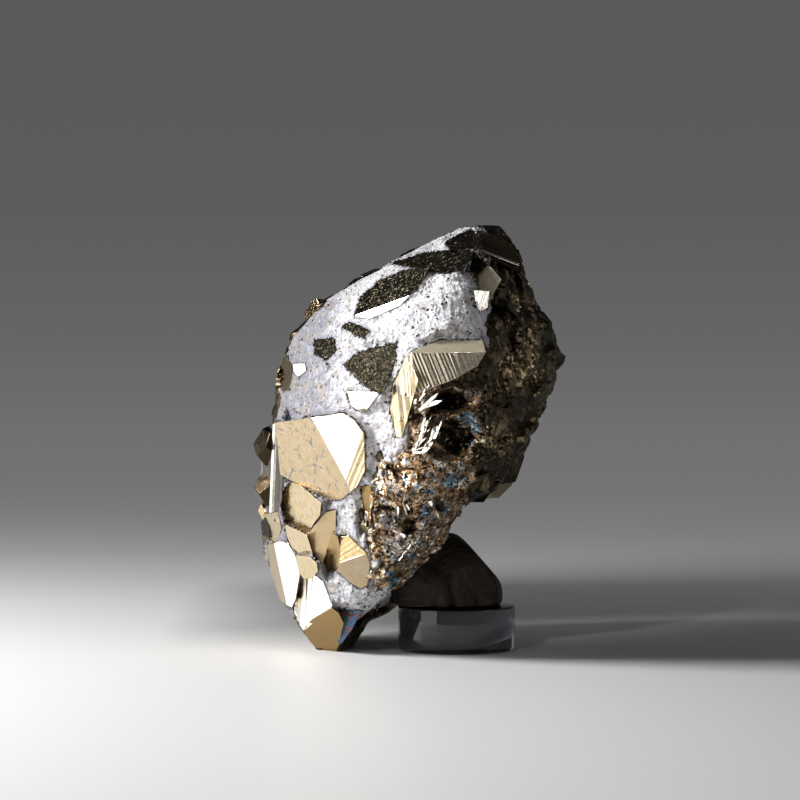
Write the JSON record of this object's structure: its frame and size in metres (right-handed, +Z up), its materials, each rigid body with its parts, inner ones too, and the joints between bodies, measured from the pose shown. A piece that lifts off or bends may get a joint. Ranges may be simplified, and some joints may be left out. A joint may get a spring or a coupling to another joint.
{
  "type": "pyrite cluster on a display prop",
  "caption": "Natural pyrite cluster with white quartz crust, leaning on a lump of mounting putty and a clear round acrylic disc.",
  "frame": {"origin": "centre of the acrylic disc's underside, on the surface that everything rests on", "axes": "+Z up; -Y towards the viewer of the display side; +X to the viewer's right"},
  "size_m": [0.068, 0.0688, 0.092],
  "materials": {
    "pyrite": "metallic lustre, mirror bright on crystal faces and dull on broken ones",
    "quartz_matrix": "granular, sugary white with grey and dark specks",
    "mounting_putty": "kneaded, waxy",
    "acrylic_disc": "clear polished acrylic"
  },
  "bodies": {
    "root": {"pyrite": "pyrite", "quartz_matrix": "quartz_matrix", "mounting_putty": "mounting_putty", "acrylic_disc": "acrylic_disc"}
  },
  "joints": []
}
